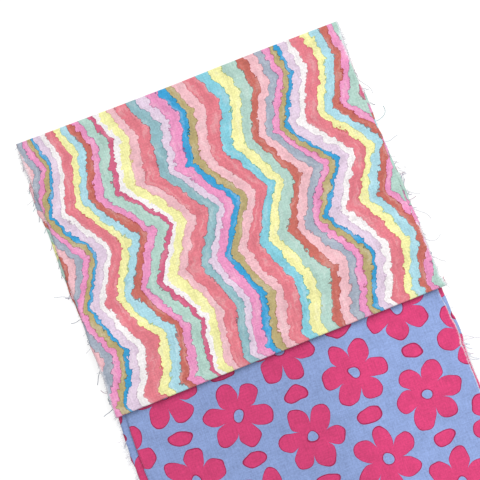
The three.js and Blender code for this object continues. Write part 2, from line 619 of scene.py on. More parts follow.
@dataclass(frozen=True)
class PrintedCotton:
    """Plain-woven cotton printed on one side."""

    name: str
    design: Design
    roughness: float = 0.88
    specular: float = 0.25
    sheen: float = 0.12
    sheen_roughness: float = 0.55
    bump: float = 0.07 * MM
    bump_strength: float = 0.6
    tone: float = 0.36  # how much the slubs darken the ink and lighten it
    show_through: float = 0.42  # how much of the ink is seen from the wrong side
    cut_show: float = 0.75  # how much of the ink is seen on the cut ends of the yarns
    selvage: float = 11 * MM  # unprinted border at each end of the cloth
    selvage_blur: float = 0.2 * MM
    pale_reach: float = 0.9 * MM  # how far the pale edge reaches: broken yarns of a worn edge, and in part a painted highlight
    paleness: float = 0.8  # how pale they are right at the edge
    specks: float = 900.0  # of broken yarn in a metre
    painted_shade_depth: float = 0.0  # how much darker the colours are left of the span than right of it: painted shade, a broad fall-off of light across the cut
    painted_shade_span: tuple[float, float] = (-60 * MM, 70 * MM)  # where the painted shade starts and ends across the cloth

    def materials(self, prints: NodeTree, weave: NodeTree) -> list[Material]:
        """The materials of the cloth's sides, in the order of Side."""
        return [self._material(side, prints, weave) for side in Side]

    def _material(self, side: Side, prints: NodeTree, weave: NodeTree) -> Material:
        """One side's material.

        Args:
            side: The side of the cloth.
            prints: The design's node group.
            weave: The weave's node group.

        Returns:
            The material.
        """
        material, graph = shaded(f"{self.name}_{side.name.lower()}", {
            "Roughness": self.roughness,
            "Specular IOR Level": self.specular,
            "Sheen Weight": self.sheen,
            "Sheen Roughness": self.sheen_roughness,
        })
        cloth = graph.run("ShaderNodeUVMap", {}, "UV", uv_map="cloth")
        across, along, _ = graph.split(cloth)
        colour = graph.run("ShaderNodeGroup", {"Cloth": cloth}, "Color", node_tree=prints)
        tone = graph.run("ShaderNodeGroup", {"Cloth": cloth}, "Tone", node_tree=weave)
        from_end = graph.math("PINGPONG", along, CLOTH_WIDTH / 2)
        border = graph.ramp(from_end, self.selvage, self.selvage + self.selvage_blur, 1.0, 0.0)
        colour = graph.blend(border, colour, COTTON_WHITE)
        # Pale raw edges: worn broken yarn, and painted highlight on an edge that faces the lamp.
        colour = graph.blend(self._pale_share(graph, cloth), colour, PALE_YARN_AND_HIGHLIGHT)
        shows = {Side.PRINTED: 1.0, Side.WRONG: self.show_through, Side.CUT: self.cut_show}[side]
        if shows < 1.0:
            colour = graph.blend(shows, COTTON_WHITE, colour)
        # Painted shade: the colours darken towards the left raw edge, where the light falls off.
        painted_falloff = graph.ramp(across, *self.painted_shade_span, 1.0 - self.painted_shade_depth, 1.0)
        shade = (tone * self.tone + 1.0) * painted_falloff
        graph.feed(graph.shader.inputs["Base Color"], graph.scaled(colour, shade))
        relief = {
            "Height": tone.sibling("Height"), "Distance": self.bump, "Strength": self.bump_strength
        }
        graph.feed(graph.shader.inputs["Normal"], graph.run("ShaderNodeBump", relief, "Normal"))
        return material

    def _pale_share(self, graph: Graph, cloth: Term) -> Term:
        """How pale the cloth is painted along a raw edge: broken yarn where it is worn, and in part a
        painted highlight where the edge faces the lamp.

        Args:
            graph: The material being built.
            cloth: Place on the cloth.

        Returns:
            The share, from 0 to 1.
        """
        near_edge = graph.run("ShaderNodeAttribute", {}, "Fac", attribute_name="from_raw_edge")
        depth = graph.noise(cloth, self.specks, 1.0) * (self.pale_reach * 2)
        return graph.math("SUBTRACT", 1.0, near_edge / depth, clamp=True) * self.paleness


@dataclass(frozen=True)
class LooseYarn:
    """The finish of the threads that have worked loose."""

    name: str
    tints: tuple[Colour, ...]
    roughness: float = 0.8
    sheen: float = 0.2
    fibres: float = 1500.0  # in a metre
    fibre_depth: float = 0.35

    def material(self) -> Material:
        """A matt yarn whose tint differs from thread to thread.

        Returns:
            The material.
        """
        material, graph = shaded(self.name, {"Roughness": self.roughness, "Sheen Weight": self.sheen})
        chance = graph.run("ShaderNodeAttribute", {}, "Fac", attribute_name="tint")
        colour = graph.steps(chance, [(k / len(self.tints), tint) for k, tint in enumerate(self.tints)])
        place = graph.run("ShaderNodeTexCoord", {}, "Object")
        shade = (graph.noise(place, self.fibres, dimensions="3D") - 0.5) * self.fibre_depth + 1.0
        graph.feed(graph.shader.inputs["Base Color"], graph.scaled(colour, shade))
        return material

# Shapes of cloth ----------------------------------------------------------------------------


def smooth(value: np.ndarray | float) -> np.ndarray:
    """A smooth step from 0 to 1, level at both ends."""
    share = np.clip(value, 0.0, 1.0)
    return share * share * share * (share * (6 * share - 15) + 10)


def rows(kind: type, *facts: tuple[float, ...]) -> tuple:
    """A table: one of a kind for each row of its values."""
    return tuple(kind(*fact) for fact in facts)


@dataclass(frozen=True)
class Ripple:
    """Gentle unevenness, the same on every run: a sum of waves in fixed directions."""

    wavelength: float
    seed: int
    waves: int = 9
    lengths: tuple[float, float] = (0.7, 1.6)  # of single waves, as shares of the wavelength
    drift: float = 1.2  # most that a wave moves on from layer to layer, in radians

    def __call__(self, x: np.ndarray, y: np.ndarray, depth: np.ndarray | float = 0.0) -> np.ndarray:
        """The unevenness at a place.

        Args:
            x: The place across.
            y: The place along.
            depth: The height in layers.

        Returns:
            A value from about -1 to 1.
        """
        draw = np.random.default_rng(self.seed)
        total = np.zeros(np.broadcast(x, y, depth).shape)
        for _ in range(self.waves):
            heading = draw.uniform(0, 2 * math.pi)
            stride = 2 * math.pi / (self.wavelength * draw.uniform(*self.lengths))
            start = draw.uniform(0, 2 * math.pi)
            drift = draw.uniform(-self.drift, self.drift)
            run = x * math.cos(heading) + y * math.sin(heading)
            total = total + np.cos(stride * run + start + drift * depth)
        return total / math.sqrt(self.waves)


@dataclass(frozen=True)
class Crease:
    """A soft ridge, or a trough if its height is negative. Its sizes are in millimetres."""

    across: float  # the middle's place from the cut's middle line
    along: float  # and from its near fold
    heading: float  # in degrees from the X axis
    length: float
    width: float
    height: float

    def lift(self, across: np.ndarray, along: np.ndarray) -> np.ndarray:
        """How far the crease lifts the cloth.

        Args:
            across: Places across the cut, in metres.
            along: Places along it.

        Returns:
            The lift at each place, in metres.
        """
        turn = math.radians(self.heading)
        dx, dy = across - self.across * MM, along - self.along * MM
        on = dx * math.cos(turn) + dy * math.sin(turn)
        off = dy * math.cos(turn) - dx * math.sin(turn)
        return self.height * MM * np.exp(-((on / (self.length * MM)) ** 2) - (off / (self.width * MM)) ** 2)


@dataclass(frozen=True)
class Run:
    """One layer of a folded cut, and the fold that leads to the next."""

    layer: int  # from the table up
    to_far: bool  # whether the cloth runs from the near fold to the far one
    climbs: int  # layers that the fold at its end climbs, negative if it goes down; 0 at a selvage


RUNS = rows(Run, (1, True, 3), (4, False, 1), (5, True, 1), (6, False, -3), (3, True, -1), (2, False, 0))
LAYERS = len(RUNS)
OUTER_CLIMB = 3  # layers that an outer fold climbs, with an inner one inside it
LONE_LAYER = 5  # its fold has no other round it


@dataclass(frozen=True)
class EdgeMark:
    """How the two raw edges lie at a place on the path."""

    at: float  # the folds passed so far, and the share of the way to the next one
    left: float  # how far each edge stands out, in millimetres
    right: float
    left_wear: float = 0.4  # from 0, cleanly cut, to 3, badly worn
    right_wear: float = 0.4


@dataclass(frozen=True)
class FoldMark:
    """How the near fold and the far one lie at a place across the cut."""

    across: float  # from -1 at the left edge to 1 at the right one
    near: float  # how far each fold stands out, in millimetres
    far: float


@dataclass(frozen=True)
class RawEdge:
    """One of the two raw edges of a cut, row by row of its mesh."""

    side: int  # -1 at the left and 1 at the right
    line: np.ndarray
    mark: np.ndarray  # place along the edge marks
    wear: np.ndarray


@dataclass
class FoldedCut:
    """A cut of cloth, doubled and folded in thirds, lying on its bed."""

    name: str
    node: str
    slot: str
    cotton: PrintedCotton
    yarn: LooseYarn
    turn: float
    seed: int
    edge_marks: tuple[EdgeMark, ...]  # from the first selvage to the last
    fold_marks: tuple[FoldMark, ...]  # from the left edge to the right one
    creases: tuple[Crease, ...]
    pallor_from_wear_and_light: tuple[float, float]  # how pale the left edge and the right one are painted: broken yarn from wear, and on the lower cut a painted highlight on the right edge, which faces the lamp, with the left one kept dark as in shade
    hairiness: tuple[float, float]  # how long their frayed threads are, from 0 to 1
    loose_threads: tuple["LooseThread", ...] = ()
    lies_on: "FoldedCut | None" = None

    loft: float = 0.9 * MM  # from layer to layer at the folds
    pressed: float = 0.72 * MM  # and in the flat between them
    loft_reach: float = 13 * MM
    airiness: float = 0.10  # how much further apart the layers are at the raw edges
    air_reach: float = 9 * MM
    crispness: float = 0.72  # how far a fold bulges, as a share of a half circle
    pressing: float = 0.85  # how squarely it turns: 1 is round
    turn_steps: int = 13
    row: float = 2.2 * MM
    columns: int = 46
    crowding: float = 1.35  # how much closer together the columns are at the raw edges
    selvage_setback: float = 4 * MM
    last_setback: float = 1.6  # of the last selvage, as a share of the first one's
    ridge: float = 7 * MM  # how far from a far fold the cloth on it stops following it
    brow: float = 1 * MM  # and how far from it that cloth starts to come down
    landing: float = 36 * MM  # and the stretch over which it does
    swell: float = 62 * MM  # waves of the whole stack
    swell_height: float = 0.16  # in millimetres
    flutter: float = 30 * MM  # waves of each layer by itself
    slack: float = 0.05 * MM  # how high these are
    edge_slack: float = 0.09 * MM  # and how much higher at the raw edges
    slack_reach: float = 8 * MM
    freed: float = 4.0  # how soon, above the table, a layer has its full flutter
    # Waves of the raw edges: length and depth in millimetres, and what their seed is set apart by.
    edge_waves: tuple[tuple[float, float, int], ...] = ((120, 0.3, 5), (17, 0.12, 9), (5, 0.08, 13))
    clean: float = 2 * MM  # how much further from its edge unworn cloth counts as lying
    width: float = field(init=False)
    depth: float = field(init=False)
    middle: Vector = field(init=False)  # of the cut's outline on the table
    pieces: list[Object] = field(default_factory=list)
    edges: list[RawEdge] = field(default_factory=list)

    def __post_init__(self) -> None:
        """Takes the cut's size from the node that lies square, and its place from its own."""
        (low, high), (start, end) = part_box("upper_cut"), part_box(self.node)
        self.width, self.depth, self.middle = high.x - low.x, high.y - low.y, (start + end) / 2

    def path(self) -> tuple[np.ndarray, np.ndarray, np.ndarray]:
        """Follows the cloth from its first selvage to its last.

        Returns:
            For each row of the mesh: the place along the cut's depth, the height in layers, and
            the place along the edge marks.
        """
        along, level, mark = [], [], []
        begin = self.selvage_setback
        for index, run in enumerate(RUNS):
            end = self._seat(run) if run.climbs else self.selvage_setback * self.last_setback
            near, far = (begin, end) if run.to_far else (end, begin)
            stops = [near, self.depth - far] if run.to_far else [self.depth - far, near]
            count = round(abs(stops[1] - stops[0]) / self.row)
            along.append(np.linspace(stops[0], stops[1], count))
            level.append(np.full(count, run.layer - 0.5))
            mark.append(index + np.linspace(0, 1, count))
            if run.climbs:
                angle = np.linspace(0, math.pi, self.turn_steps + 2)[1:-1]
                radius = run.climbs / 2
                outward = 1 if run.to_far else -1
                bulge = abs(radius) * self.loft * self.crispness
                along.append(stops[1] + outward * bulge * np.sin(angle) ** self.pressing)
                level.append(run.layer - 0.5 + radius * (1 - np.cos(angle)))
                mark.append(np.full(self.turn_steps, index + 1.0))
            begin = end
        return np.concatenate(along), np.concatenate(level), np.concatenate(mark)

    def _seat(self, run: Run) -> float:
        """How far from the end of the cut the middle of a run's fold lies."""
        wraps = 1 if run.layer == LONE_LAYER else OUTER_CLIMB
        return wraps / 2 * self.loft * self.crispness + COTTON / 2

    def spread(self, across: np.ndarray, along: np.ndarray) -> tuple[np.ndarray, np.ndarray]:
        """Lays points of the cut on the table.

        Args:
            across: Their places across the cut.
            along: Their places along it.

        Returns:
            Their places in X and Y.
        """
        out = along + self.off_square(across, along) - self.depth / 2
        cos, sin = math.cos(self.turn), math.sin(self.turn)
        return self.middle.x + across * cos - out * sin, self.middle.y + across * sin + out * cos

    def gather(self, x: np.ndarray, y: np.ndarray) -> tuple[np.ndarray, np.ndarray]:
        """Finds points of the table on the cut.

        Args:
            x: Their places in X.
            y: Their places in Y.

        Returns:
            Their places across the cut and along it.
        """
        dx, dy = x - self.middle.x, y - self.middle.y
        cos, sin = math.cos(self.turn), math.sin(self.turn)
        across, along = dx * cos + dy * sin, dy * cos - dx * sin + self.depth / 2
        return across, along - self.off_square(across, along)

    def off_square(self, across: np.ndarray, along: np.ndarray) -> np.ndarray:
        """How far the cloth lies towards the far fold, as the folds aren't quite straight.

        Args:
            across: Places across the cut.
            along: Places along it.

        Returns:
            The distance at each place.
        """
        places = [mark.across * self.width / 2 for mark in self.fold_marks]
        near = np.interp(across, places, [-mark.near * MM for mark in self.fold_marks])
        far = np.interp(across, places, [mark.far * MM for mark in self.fold_marks])
        share = np.clip(along / self.depth, 0.0, 1.0)
        return near + (far - near) * share

    def bed(self, x: np.ndarray, y: np.ndarray) -> np.ndarray:
        """Height of what the cut lies on.

        Args:
            x: Places in X.
            y: Places in Y.

        Returns:
            The height at each place.
        """
        table = np.full(np.broadcast(x, y).shape, RESTING_GAP)
        under = self.lies_on
        if under is None:
            return table
        across, along = under.gather(x, y)
        carried = under.top(across, np.minimum(along, under.depth - self.ridge)) + RESTING_GAP
        past = (along - under.depth + self.brow) / self.landing
        return table + (carried - table) * (1 - smooth(past))

    def inward(self, across: np.ndarray) -> np.ndarray:
        """Distance from the nearer raw edge, were the edges straight."""
        return np.maximum(self.width / 2 - np.abs(across), 0.0)

    def layer_step(self, across: np.ndarray, along: np.ndarray) -> np.ndarray:
        """Height from layer to layer.

        Args:
            across: Places across the cut.
            along: Places along it.

        Returns:
            The height at each place.
        """
        from_fold = np.maximum(np.minimum(along, self.depth - along), 0.0)
        puff = np.exp(-((from_fold / self.loft_reach) ** 2))
        airy = self.airiness * np.exp(-self.inward(across) / self.air_reach)
        return (self.pressed + (self.loft - self.pressed) * puff) * (1 + airy * (1 - puff))

    def height(self, across: np.ndarray, along: np.ndarray, level: np.ndarray | float) -> np.ndarray:
        """Height of the cloth above its bed.

        Args:
            across: Places across the cut.
            along: Places along it.
            level: How many layers up each place is.

        Returns:
            The height at each place.
        """
        share = np.asarray(level) / LAYERS
        stack = level * self.layer_step(across, along)
        uneven = Ripple(self.swell, self.seed)(across, along) * self.swell_height * MM
        slack = self.slack + self.edge_slack * np.exp(-self.inward(across) / self.slack_reach)
        loose = Ripple(self.flutter, self.seed + 1)(across, along, level) * slack
        folds = sum(crease.lift(across, along) for crease in self.creases)
        raised = share * (uneven + self.swell_height * MM + folds)
        return stack + raised + loose * np.minimum(share * self.freed, 1.0)

    def top(self, across: np.ndarray, along: np.ndarray) -> np.ndarray:
        """Height of the cut's upper face above the table."""
        x, y = self.spread(across, along)
        return self.bed(x, y) + self.height(across, along, float(LAYERS))

    def between_marks(self, mark: np.ndarray, name: str) -> np.ndarray:
        """What the edge marks say, at every row of the mesh.

        Args:
            mark: Each row's place along the edge marks.
            name: Which of their values is wanted.

        Returns:
            The value at each row.
        """
        places = np.array([spot.at for spot in self.edge_marks])
        values = np.array([getattr(spot, name) for spot in self.edge_marks])
        step = np.clip(np.searchsorted(places, mark, side="right") - 1, 0, len(places) - 2)
        share = smooth((mark - places[step]) / (places[step + 1] - places[step]))
        return values[step] + (values[step + 1] - values[step]) * share

    def raw_edge(self, side: int, mark: np.ndarray, arc: np.ndarray) -> np.ndarray:
        """Follows a raw edge along the cloth.

        Args:
            side: -1 for the left edge and 1 for the right one.
            mark: Place along the edge marks.
            arc: Place along the cloth.

        Returns:
            Places across the cut.
        """
        out = self.width / 2 + self.between_marks(mark, "left" if side < 0 else "right") * MM
        for length, depth, apart in self.edge_waves:
            out = out + Ripple(length * MM, self.seed + apart + side)(arc, 0 * arc) * depth * MM
        return side * out

    def build(self) -> Object:
        """Builds the cut as one closed sheet with a printed side, a wrong side and cut edges.

        Returns:
            The cut's object.
        """
        along, level, mark = self.path()
        arc = np.concatenate([[0], np.cumsum(np.hypot(np.diff(along), np.diff(level) * self.loft))])
        left, right = self.raw_edge(-1, mark, arc), self.raw_edge(1, mark, arc)
        even = np.linspace(-1, 1, self.columns)
        eased = np.sign(even) * (1 - (1 - np.abs(even)) ** self.crowding)
        across = left[:, None] + (right - left)[:, None] * ((eased + 1) / 2)[None, :]
        places = np.broadcast_to(along[:, None], across.shape)
        x, y = self.spread(across, places)
        z = self.bed(x, y) + self.height(across, places, level[:, None])
        sheet = np.stack([x, y, z], axis=-1)

        normal = np.cross(np.gradient(sheet, axis=1), np.gradient(sheet, axis=0))
        normal /= np.linalg.norm(normal, axis=-1, keepdims=True)
        faces = [sheet - normal * COTTON / 2, sheet + normal * COTTON / 2]
        wear = [self.between_marks(mark, name) for name in ("left_wear", "right_wear")]
        # from_edge carries the pale raw edges: wear, and painted highlight on an edge that faces the lamp.
        from_edge = np.minimum(
            self._beyond_wear_and_highlight(across - left[:, None], wear[0], self.pallor_from_wear_and_light[0]),
            self._beyond_wear_and_highlight(right[:, None] - across, wear[1], self.pallor_from_wear_and_light[1]),
        )
        piece = self._mesh_piece(faces, across, arc * CLOTH_WIDTH / arc[-1], from_edge)
        self.pieces.append(piece)
        self.edges = [
            RawEdge(-1, sheet[:, 0], mark, wear[0]),
            RawEdge(1, sheet[:, -1], mark, wear[1]),
        ]
        return piece

    def _beyond_wear_and_highlight(self, inward: np.ndarray, wear: np.ndarray, pallor_from_wear_and_light: float) -> np.ndarray:
        """Distance from a raw edge, shortened where the edge is painted pale, from wear and from painted
        highlight, and lengthened where it is clean.
        """
        reach = (wear * pallor_from_wear_and_light)[:, None]
        return inward / reach + self.clean * np.maximum(1 - reach, 0.0)

    def edge_point(self, at: float, side: int) -> Vector:
        """A point on a raw edge, for a place along the cloth counted as an edge mark's is."""
        edge = self.edges[0 if side < 0 else 1]
        return Vector(edge.line[int(np.argmin(np.abs(edge.mark - at)))])

    def direction(self, side: int, lean: float) -> Vector:
        """The way out of a raw edge, leaning towards the far fold by a share of its length."""
        out = Vector((side * math.cos(self.turn), side * math.sin(self.turn)))
        return out + lean * Vector((-math.sin(self.turn), math.cos(self.turn)))

    def _mesh_piece(
        self, faces: list[np.ndarray], across: np.ndarray, arc: np.ndarray, from_edge: np.ndarray
    ) -> Object:
        """Makes the closed mesh from its printed and wrong faces.

        Args:
            faces: Points of the printed face and of the wrong one, by row and column.
            across: Place across the cloth of each point.
            arc: Place along the cloth of each row.
            from_edge: Distance of each point from the nearer raw edge, by how worn that edge is.

        Returns:
            The piece.
        """
        count = across.size
        index = np.arange(count).reshape(across.shape)
        printed, wrong = quads(index), quads(index + count)[:, ::-1]
        walls = []
        for line in (index[:, 0], index[-1, :], index[::-1, -1], index[0, ::-1]):
            a, b = line[:-1], line[1:]
            walls.append(np.stack([a, b, b + count, a + count], axis=1))
        walls = np.concatenate(walls)
        polygons = np.concatenate([printed, wrong, walls])
        sides = np.repeat([side.value for side in Side], [len(printed), len(wrong), len(walls)])
        points = np.concatenate([face.reshape(-1, 3) for face in faces])
        if signed_volume(points, polygons) < 0:
            polygons = polygons[:, ::-1]

        mesh = bpy.data.meshes.new(self.name)
        mesh.from_pydata(points.tolist(), [], polygons.tolist())
        mesh.polygons.foreach_set("material_index", sides.astype(np.int32))
        mesh.polygons.foreach_set("use_smooth", (sides != Side.CUT.value).tolist())
        place = np.stack([across, np.broadcast_to(arc[:, None], across.shape)], axis=-1).reshape(-1, 2)
        corner = np.empty(len(mesh.loops), np.int32)
        mesh.loops.foreach_get("vertex_index", corner)
        cloth = np.concatenate([place] * 2)[corner].astype(np.float32)
        mesh.uv_layers.new(name="cloth").data.foreach_set("uv", cloth.ravel())
        edge = mesh.attributes.new("from_raw_edge", "FLOAT", "POINT")
        edge.data.foreach_set("value", np.concatenate([from_edge.ravel()] * 2).astype(np.float32))
        mesh.update()
        return add_object(self.name, mesh)

    def dress(self, prints: NodeTree, weave: NodeTree) -> None:
        """Gives the cut its printed, wrong and cut-edge materials."""
        for material in self.cotton.materials(prints, weave):
            self.pieces[0].data.materials.append(material)

    def declare(self, rests_on: list[str]) -> None:
        """Attaches each piece to the root body and hides the part that the cut stands in for.

        Args:
            rests_on: Names of what the cut rests on, apart from the table. Not used.
        """
        for piece in self.pieces:
            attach(piece, "root")
        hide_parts(self.node)


def quads(index: np.ndarray) -> np.ndarray:
    """The quads of a grid of point numbers."""
    corners = [index[:-1, :-1], index[:-1, 1:], index[1:, 1:], index[1:, :-1]]
    return np.stack(corners, axis=-1).reshape(-1, 4)


def signed_volume(points: np.ndarray, polygons: np.ndarray) -> float:
    """The volume inside a closed mesh of quads.

    Args:
        points: The mesh's points.
        polygons: The numbers of each quad's points.

    Returns:
        The volume, negative if the faces point inwards.
    """
    a, b, c, d = (points[polygons[:, k]] for k in range(4))
    first = np.einsum("ij,ij->i", a, np.cross(b, c))
    second = np.einsum("ij,ij->i", a, np.cross(c, d))
    return float((first.sum() + second.sum()) / 6)


def add_object(name: str, data: Mesh | Light | Camera) -> Object:
    """Links a new object to the scene.

    Args:
        name: Its name.
        data: Its mesh, lamp or camera.

    Returns:
        The object.
    """
    made = bpy.data.objects.new(name, data)
    bpy.context.scene.collection.objects.link(made)
    return made


# Frayed edges -------------------------------------------------------------------------------

YARN_SIZES = (
    "Spacing", "Shortest", "Longest", "Thickness", "Curl", "Stray", "Scarcity", "Patches", "Spread",
)
TIP = 0.5  # how much thinner a yarn is at its tip
TAPER = 3.0  # how late along the yarn it thins


def spun(graph: Graph, curves: Term, sides: int) -> Term:
    """Gives curves the thickness of a yarn, tapered to its tip, and the yarn's material.

    Args:
        graph: The tree being built, with the inputs Thickness and Yarn.
        curves: The middle lines of the yarns.
        sides: Sides of the yarn's section.

    Returns:
        The finished yarns.
    """
    taper = 1.0 - graph.run("GeometryNodeSplineParameter", {}, "Factor") ** TAPER * TIP
    tapered = graph.run("GeometryNodeSetCurveRadius", {"Curve": curves, "Radius": taper}, "Curve")
    circle = {"Resolution": sides, "Radius": graph.given["Thickness"] * 0.5}
    section = graph.run("GeometryNodeCurvePrimitiveCircle", circle, "Curve")
    drawn = {"Curve": tapered, "Profile Curve": section, "Fill Caps": True}
    solid = graph.run("GeometryNodeCurveToMesh", drawn, "Mesh")
    final = graph.run("GeometryNodeRealizeInstances", {"Geometry": solid}, "Geometry")
    dressed = {"Geometry": final, "Material": graph.given["Yarn"]}
    return graph.run("GeometryNodeSetMaterial", dressed, "Geometry")


def grown(name: str, lines: Mesh, tree: GeometryNodeTree, inputs: dict[str, object]) -> Object:
    """Runs a Geometry Nodes tree on lines and keeps the result as a plain mesh.

    Args:
        name: The new object's name.
        lines: The mesh of edges that the tree starts from.
        tree: The tree.
        inputs: Values of its named inputs.

    Returns:
        The object.
    """
    grower = add_object(f"{name}_lines", lines)
    modifier = grower.modifiers.new("Yarns", "NODES")
    modifier.node_group = tree
    sockets = {
        item.name: item.identifier
        for item in tree.interface.items_tree
        if item.item_type == "SOCKET" and item.in_out == "INPUT"
    }
    for label, value in inputs.items():
        modifier[sockets[label]] = value
    view = bpy.context.evaluated_depsgraph_get()
    mesh = bpy.data.meshes.new_from_object(grower.evaluated_get(view))
    bpy.data.objects.remove(grower)
    return add_object(name, mesh)


@dataclass
class YarnLines:
    """Lines that yarns grow from or follow, with what each point carries."""

    points: list[list[float]] = field(default_factory=list)
    edges: list[tuple[int, int]] = field(default_factory=list)
    outward: list[tuple[float, float, float]] = field(default_factory=list)
    shade: list[float] = field(default_factory=list)
    growth: list[float] = field(default_factory=list)

    def add(
        self,
        line: np.ndarray,
        shade: float,
        outward: tuple[float, float, float] = (0.0, 0.0, 0.0),
        growth: np.ndarray | None = None,
    ) -> None:
        """Adds a line.

        Args:
            line: Its points.
            shade: The shade of its yarns, from 0 to 1.
            outward: The way that they leave the cloth.
            growth: How long they grow at each point, from 0 to 1.
        """
        start = len(self.points)
        self.points.extend(line.tolist())
        self.edges.extend((start + k, start + k + 1) for k in range(len(line) - 1))
        self.outward.extend([outward] * len(line))
        self.shade.extend([shade] * len(line))
        self.growth.extend([1.0] * len(line) if growth is None else growth.tolist())

    def mesh(self, name: str) -> Mesh:
        """Makes the lines a mesh of edges.

        Args:
            name: The mesh's name.

        Returns:
            The mesh, with the attributes outward, tint and growth.
        """
        made = bpy.data.meshes.new(name)
        made.from_pydata(self.points, self.edges, [])
        way = made.attributes.new("outward", "FLOAT_VECTOR", "POINT")
        way.data.foreach_set("vector", np.array(self.outward, np.float32).ravel())
        for label, values in (("tint", self.shade), ("growth", self.growth)):
            carried = made.attributes.new(label, "FLOAT", "POINT")
            carried.data.foreach_set("value", np.array(values, np.float32))
        return made


@dataclass(frozen=True)
class Fraying:
    """Short broken yarns or fibres all along the raw edges."""

    label: str
    spacing: float
    shortest: float
    longest: float
    thickness: float
    curl: float
    stray: float  # how far they turn out of line
    scarcity: float  # how few are long: 1 if all lengths are as many
    patches: float  # from 0, alike all along, to 1, only in stretches
    lean: tuple[float, float]  # towards the far fold, at the left edge and at the right one
    shade: tuple[float, float]  # the darkest of them at each edge, from 0 to 1
    spread: float  # from the darkest to the palest
    joints: int
    by_wear: bool  # whether they grow where the edge is worn, or by the cut's hairiness
    full_wear: float = 3.0  # wear at which they are longest

    def fray(self, cut: FoldedCut, tree: GeometryNodeTree, yarn: Material) -> None:
        """Grows the yarns of a cut as a piece of their own.

        Args:
            cut: The cut, already built.
            tree: The tree of FrayedEdge.
            yarn: The yarns' material.
        """
        lines = YarnLines()
        for which, edge in enumerate(cut.edges):
            way = cut.direction(edge.side, self.lean[which])
            hairy = np.full(len(edge.line), cut.hairiness[which])
            growth = (edge.wear / self.full_wear) ** 2 if self.by_wear else hairy
            lines.add(edge.line, self.shade[which], (way.x, way.y, 0.0), growth)
        name = f"{cut.name}_{self.label}"
        inputs = {label: getattr(self, label.lower()) for label in (*YARN_SIZES, "Joints")}
        inputs.update(Seed=cut.seed, Yarn=yarn)
        cut.pieces.append(grown(name, lines.mesh(name), tree, inputs))


HAIRS = Fraying(
    label="frayed_threads", spacing=8 * MM, shortest=0.6 * MM, longest=5.0 * MM, thickness=0.2 * MM,
    curl=0.5, stray=0.7, scarcity=2.0, patches=0.4, lean=(-1.6, -0.4), shade=(0.12, 0.5), spread=0.4,
    joints=5, by_wear=False,
)
FUZZ = Fraying(
    label="edge_fuzz", spacing=0.22 * MM, shortest=0.1 * MM, longest=3.8 * MM, thickness=0.13 * MM,
    curl=0.4, stray=0.6, scarcity=1.1, patches=0.3, lean=(-0.4, -0.1), shade=(0.65, 0.65), spread=0.35,
    joints=4, by_wear=True,
)

Limits = tuple[tuple[float, float, float], tuple[float, float, float]]


